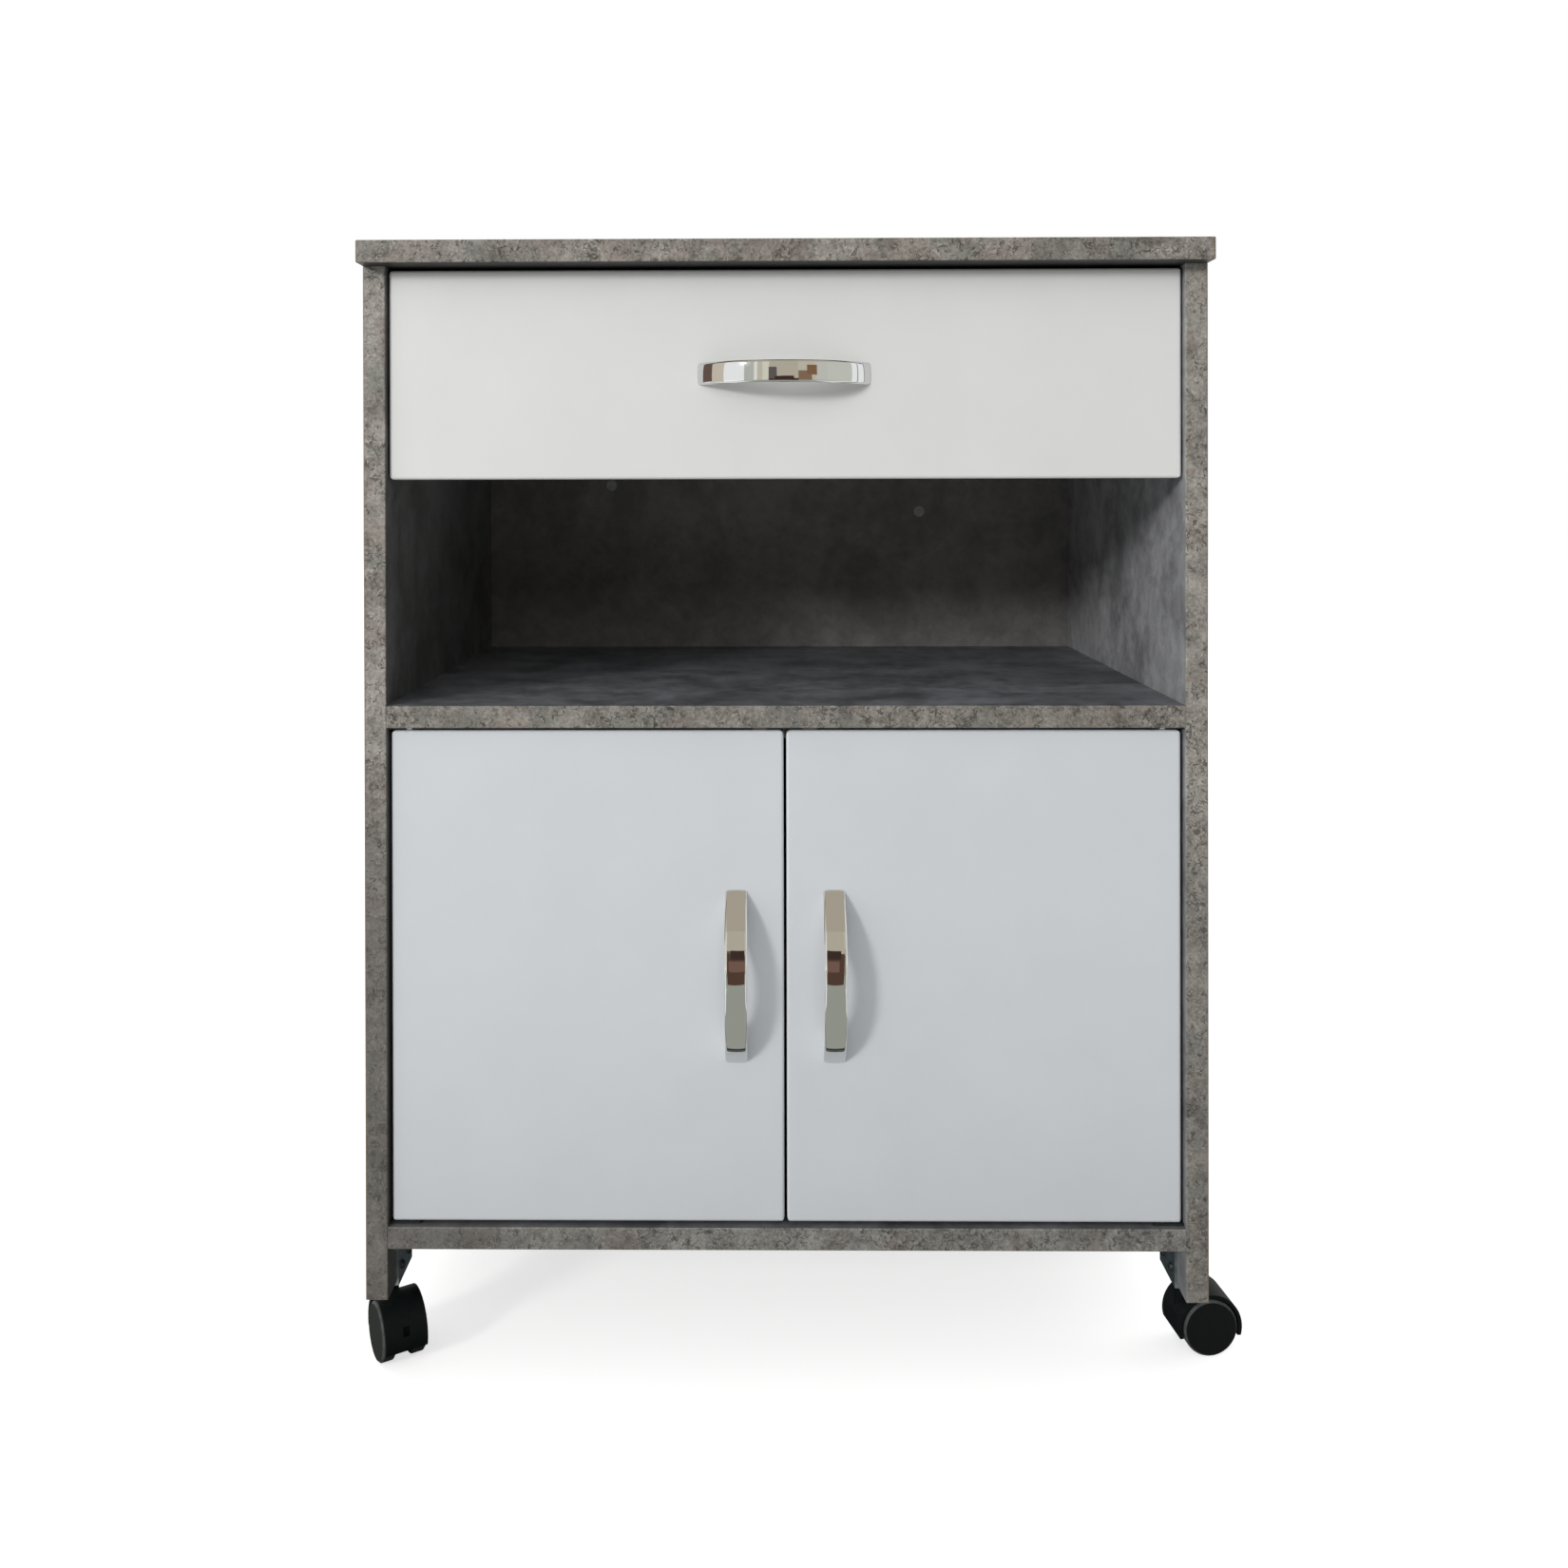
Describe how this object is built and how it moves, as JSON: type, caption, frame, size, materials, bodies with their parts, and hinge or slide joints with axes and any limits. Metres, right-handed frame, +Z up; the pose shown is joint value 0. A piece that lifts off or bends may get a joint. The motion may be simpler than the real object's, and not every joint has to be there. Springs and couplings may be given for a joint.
{
  "type": "microwave stand with drawer",
  "caption": "Rolling kitchen stand: flat top for a microwave, a drawer on roller runners, an open niche and a cupboard with pivot-hung doors on swivel casters.",
  "frame": {"origin": "on the floor, under the middle of the stand's box at rest, handles and casters included", "axes": "+X to the right as seen from the front, +Y to the rear, +Z up"},
  "size_m": [0.6746, 0.4072, 0.8145],
  "materials": {
    "concrete_board": "particle board faced with matt concrete-look melamine",
    "hardboard": "thin hardboard faced with concrete-look paper",
    "white_front": "fibreboard wrapped in white satin foil",
    "drawer_board": "white melamine board",
    "beech": "plain beech dowel",
    "chrome": "polished chrome plate on zinc die casting",
    "rail_enamel": "white powder coat on rolled steel",
    "nylon": "natural white nylon",
    "caster_plastic": "moulded black nylon",
    "wheel_plastic": "moulded black nylon",
    "zinc_steel": "bright zinc plate"
  },
  "bodies": {
    "carcass": {"top_panel": "concrete_board", "left_side_panel": "concrete_board", "right_side_panel": "concrete_board", "middle_shelf": "concrete_board", "bottom_panel": "concrete_board", "back_panel": "hardboard", "inner_shelf": "concrete_board", "shelf_pins": "zinc_steel", "cam_locks": "zinc_steel", "cam_bolts": "zinc_steel", "wood_dowels": "beech", "back_panel_nails": "zinc_steel", "back_panel_plugs": "nylon", "left_cabinet_rail": "rail_enamel", "right_cabinet_rail": "rail_enamel", "board_screws": "zinc_steel", "pivot_plates": "zinc_steel", "magnetic_catch": "nylon", "caster_brackets": "zinc_steel"},
    "drawer": {"drawer_front": "white_front", "drawer_left_side": "drawer_board", "drawer_right_side": "drawer_board", "drawer_back": "drawer_board", "drawer_bottom": "hardboard", "left_drawer_rail": "rail_enamel", "right_drawer_rail": "rail_enamel", "drawer_rail_screws": "zinc_steel", "drawer_dowels": "beech", "drawer_handle": "chrome", "drawer_handle_screws": "zinc_steel"},
    "left_door": {"left_door": "white_front", "left_door_handle": "chrome", "left_door_screws": "zinc_steel", "left_pivot_bushes": "nylon", "left_strike_plate": "zinc_steel"},
    "right_door": {"right_door": "white_front", "right_door_handle": "chrome", "right_door_screws": "zinc_steel", "right_pivot_bushes": "nylon", "right_strike_plate": "zinc_steel"},
    "left_front_roller": {"left_front_roller": "nylon"},
    "right_front_roller": {"right_front_roller": "nylon"},
    "left_rear_roller": {"left_rear_roller": "nylon"},
    "right_rear_roller": {"right_rear_roller": "nylon"},
    "front_left_caster": {"front_left_hood": "caster_plastic", "front_left_axle": "zinc_steel"},
    "front_left_inner_wheel": {"front_left_inner_wheel": "wheel_plastic"},
    "front_left_outer_wheel": {"front_left_outer_wheel": "wheel_plastic"},
    "front_right_caster": {"front_right_hood": "caster_plastic", "front_right_axle": "zinc_steel"},
    "front_right_inner_wheel": {"front_right_inner_wheel": "wheel_plastic"},
    "front_right_outer_wheel": {"front_right_outer_wheel": "wheel_plastic"},
    "rear_left_caster": {"rear_left_hood": "caster_plastic", "rear_left_axle": "zinc_steel"},
    "rear_left_inner_wheel": {"rear_left_inner_wheel": "wheel_plastic"},
    "rear_left_outer_wheel": {"rear_left_outer_wheel": "wheel_plastic"},
    "rear_right_caster": {"rear_right_hood": "caster_plastic", "rear_right_axle": "zinc_steel"},
    "rear_right_inner_wheel": {"rear_right_inner_wheel": "wheel_plastic"},
    "rear_right_outer_wheel": {"rear_right_outer_wheel": "wheel_plastic"}
  },
  "joints": [
    {"name": "drawer_slide", "type": "slide", "parent": "carcass", "child": "drawer", "axis": [0, -1, 0], "range_m": [0, 0.25]},
    {"name": "left_door_hinge", "type": "hinge", "parent": "carcass", "child": "left_door", "pos_m": [-0.2688, -0.16765, 0.2915], "axis": [0, 0, -1], "range_deg": [0, 110]},
    {"name": "right_door_hinge", "type": "hinge", "parent": "carcass", "child": "right_door", "pos_m": [0.2688, -0.16765, 0.2915], "axis": [0, 0, 1], "range_deg": [0, 110]},
    {"name": "left_front_roller_spin", "type": "hinge", "parent": "carcass", "child": "left_front_roller", "pos_m": [-0.2771, -0.14515, 0.6685], "axis": [1, 0, 0], "range_deg": [-5, 1690]},
    {"name": "left_rear_roller_spin", "type": "hinge", "parent": "drawer", "child": "left_rear_roller", "pos_m": [-0.2771, 0.17385, 0.6668], "axis": [1, 0, 0], "range_deg": [-5, 1690]},
    {"name": "right_front_roller_spin", "type": "hinge", "parent": "carcass", "child": "right_front_roller", "pos_m": [0.2771, -0.14515, 0.6685], "axis": [1, 0, 0], "range_deg": [-5, 1690]},
    {"name": "right_rear_roller_spin", "type": "hinge", "parent": "drawer", "child": "right_rear_roller", "pos_m": [0.2771, 0.17385, 0.6668], "axis": [1, 0, 0], "range_deg": [-5, 1690]},
    {"name": "front_left_swivel", "type": "hinge", "parent": "carcass", "child": "front_left_caster", "pos_m": [-0.2955, -0.12865, 0.0615], "axis": [0, 0, 1], "continuous": true},
    {"name": "front_left_inner_wheel_spin", "type": "hinge", "parent": "front_left_caster", "child": "front_left_inner_wheel", "pos_m": [-0.28726, -0.14236, 0.0205], "axis": [0.8572, 0.515, 0], "continuous": true},
    {"name": "front_left_outer_wheel_spin", "type": "hinge", "parent": "front_left_caster", "child": "front_left_outer_wheel", "pos_m": [-0.28726, -0.14236, 0.0205], "axis": [0.8572, 0.515, 0], "continuous": true},
    {"name": "front_right_swivel", "type": "hinge", "parent": "carcass", "child": "front_right_caster", "pos_m": [0.2955, -0.12865, 0.0615], "axis": [0, 0, 1], "continuous": true},
    {"name": "front_right_inner_wheel_spin", "type": "hinge", "parent": "front_right_caster", "child": "front_right_inner_wheel", "pos_m": [0.31138, -0.1267, 0.0205], "axis": [-0.1219, 0.9925, 0], "continuous": true},
    {"name": "front_right_outer_wheel_spin", "type": "hinge", "parent": "front_right_caster", "child": "front_right_outer_wheel", "pos_m": [0.31138, -0.1267, 0.0205], "axis": [-0.1219, 0.9925, 0], "continuous": true},
    {"name": "rear_left_swivel", "type": "hinge", "parent": "carcass", "child": "rear_left_caster", "pos_m": [-0.2955, 0.14835, 0.0615], "axis": [0, 0, 1], "continuous": true},
    {"name": "rear_left_inner_wheel_spin", "type": "hinge", "parent": "rear_left_caster", "child": "rear_left_inner_wheel", "pos_m": [-0.31138, 0.1464, 0.0205], "axis": [0.1219, -0.9925, 0], "continuous": true},
    {"name": "rear_left_outer_wheel_spin", "type": "hinge", "parent": "rear_left_caster", "child": "rear_left_outer_wheel", "pos_m": [-0.31138, 0.1464, 0.0205], "axis": [0.1219, -0.9925, 0], "continuous": true},
    {"name": "rear_right_swivel", "type": "hinge", "parent": "carcass", "child": "rear_right_caster", "pos_m": [0.2955, 0.14835, 0.0615], "axis": [0, 0, 1], "continuous": true},
    {"name": "rear_right_inner_wheel_spin", "type": "hinge", "parent": "rear_right_caster", "child": "rear_right_inner_wheel", "pos_m": [0.28726, 0.16206, 0.0205], "axis": [-0.8572, -0.515, 0], "continuous": true},
    {"name": "rear_right_outer_wheel_spin", "type": "hinge", "parent": "rear_right_caster", "child": "rear_right_outer_wheel", "pos_m": [0.28726, 0.16206, 0.0205], "axis": [-0.8572, -0.515, 0], "continuous": true}
  ],
  "couplings": [
    {"joint": "left_front_roller_spin", "follows": "drawer_slide", "rad_per_m": 117.65},
    {"joint": "left_rear_roller_spin", "follows": "drawer_slide", "rad_per_m": 117.65},
    {"joint": "right_front_roller_spin", "follows": "drawer_slide", "rad_per_m": 117.65},
    {"joint": "right_rear_roller_spin", "follows": "drawer_slide", "rad_per_m": 117.65}
  ]
}
